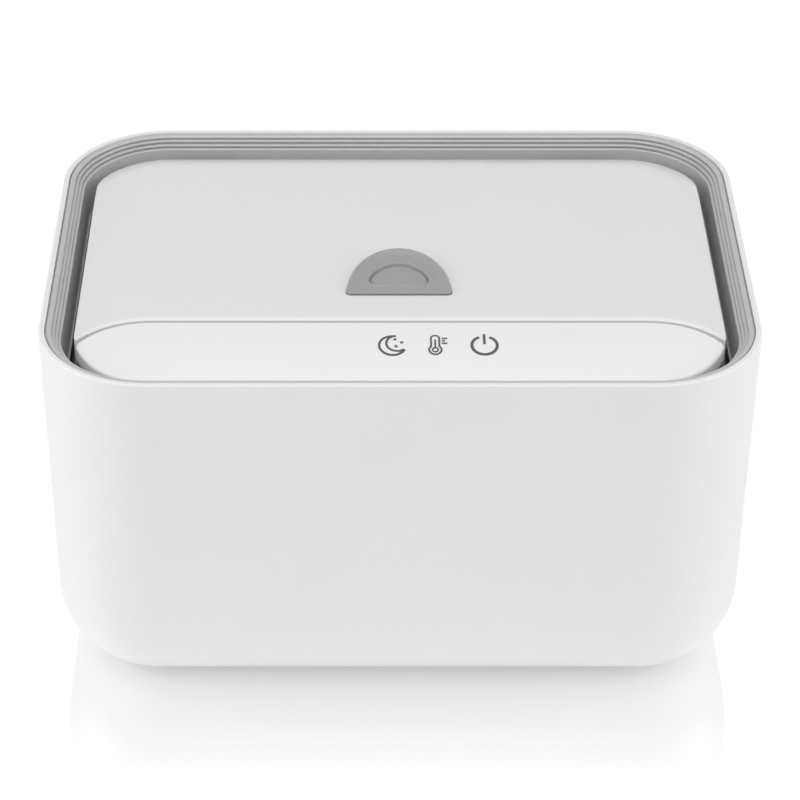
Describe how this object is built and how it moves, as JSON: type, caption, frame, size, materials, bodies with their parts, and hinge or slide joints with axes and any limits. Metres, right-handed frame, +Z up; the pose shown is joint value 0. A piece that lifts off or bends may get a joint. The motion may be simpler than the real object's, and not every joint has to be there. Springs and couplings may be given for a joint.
{
  "type": "baby wipe warmer",
  "caption": "Rounded box with a hinged lid that a half-moon button releases, over a heated wipes tank, and a sloping strip of touch controls inside a stepped rim.",
  "frame": {"origin": "centre of the footprint, at the undersides of the rubber feet", "axes": "+X to the right as the user sees it, along the longest side; the control panel is at the front, towards -Y; +Z up through the lid"},
  "size_m": [0.24, 0.176, 0.132],
  "materials": {
    "shell_white": "moulded, fine satin gloss",
    "lid_white": "moulded, satin gloss",
    "panel_white": "moulded, gloss face",
    "trim_grey": "moulded, silver-grey satin",
    "button_grey": "moulded, grey satin",
    "base_white": "moulded, matt",
    "deck_grey": "moulded, matt",
    "liner_white": "moulded, matt",
    "tank_white": "moulded, wipe-clean gloss",
    "rubber_dark": "matt",
    "silicone_grey": "soft, satin",
    "screw_steel": "zinc plated",
    "spring_steel": "drawn wire and strip",
    "spreader_aluminium": "rolled sheet",
    "film_amber": "polyimide film",
    "pad_foam": "needled felt",
    "board_green": "coated glass-epoxy laminate",
    "part_black": "moulded, matt",
    "ceramic_tan": "glazed ceramic",
    "contact_brass": "plated contact",
    "lens_clear": "clear resin",
    "lead_red": "silicone sleeve",
    "lead_grey": "vinyl sleeve"
  },
  "bodies": {
    "housing": {"outer_shell": "shell_white", "base_cover": "base_white", "rubber_feet": "rubber_dark", "base_screws": "screw_steel", "deck_frame": "deck_grey", "deck_screws": "screw_steel", "trim_ring": "trim_grey", "control_panel": "panel_white", "panel_screws": "screw_steel", "touch_board": "board_green", "touch_electrodes": "contact_brass", "indicator_leds": "lens_clear", "latch_keeper": "spring_steel", "tank": "tank_white", "tank_gasket": "silicone_grey", "tank_screws": "screw_steel", "heat_spreader": "spreader_aluminium", "heater_film": "film_amber", "insulation_pad": "pad_foam", "thermal_fuse": "ceramic_tan", "temperature_sensor": "part_black", "main_board": "board_green", "board_parts": "part_black", "board_screws": "screw_steel", "power_inlet": "part_black", "inlet_nut": "screw_steel", "heater_leads": "lead_red", "panel_leads": "lead_grey", "inlet_leads": "part_black", "hinge_springs": "spring_steel"},
    "lid": {"lid_cover": "lid_white", "lid_liner": "liner_white", "lid_screws": "screw_steel", "lid_seal": "silicone_grey", "hinge_pins": "screw_steel", "button_springs": "spring_steel", "latch_spring": "spring_steel"},
    "button": {"release_button": "button_grey"},
    "latch": {"latch_slide": "part_black"}
  },
  "joints": [
    {"name": "lid_hinge", "type": "hinge", "parent": "housing", "child": "lid", "pos_m": [0, 0.0673, 0.124], "axis": [-1, 0, 0], "range_deg": [0, 80], "deforming": ["hinge_springs", "latch_keeper"]},
    {"name": "button_press", "type": "slide", "parent": "lid", "child": "button", "axis": [0, 0, -1], "range_m": [0, 0.0022], "stiffness_N_per_m": 900, "springref_m": -0.0015, "deforming": ["button_springs"]},
    {"name": "latch_travel", "type": "slide", "parent": "lid", "child": "latch", "axis": [0, 1, 0], "range_m": [0, 0.00275], "stiffness_N_per_m": 300, "springref_m": -0.001, "deforming": ["latch_spring"]}
  ],
  "couplings": [
    {"joint": "latch_travel", "follows": "button_press", "ratio": 1.25}
  ]
}
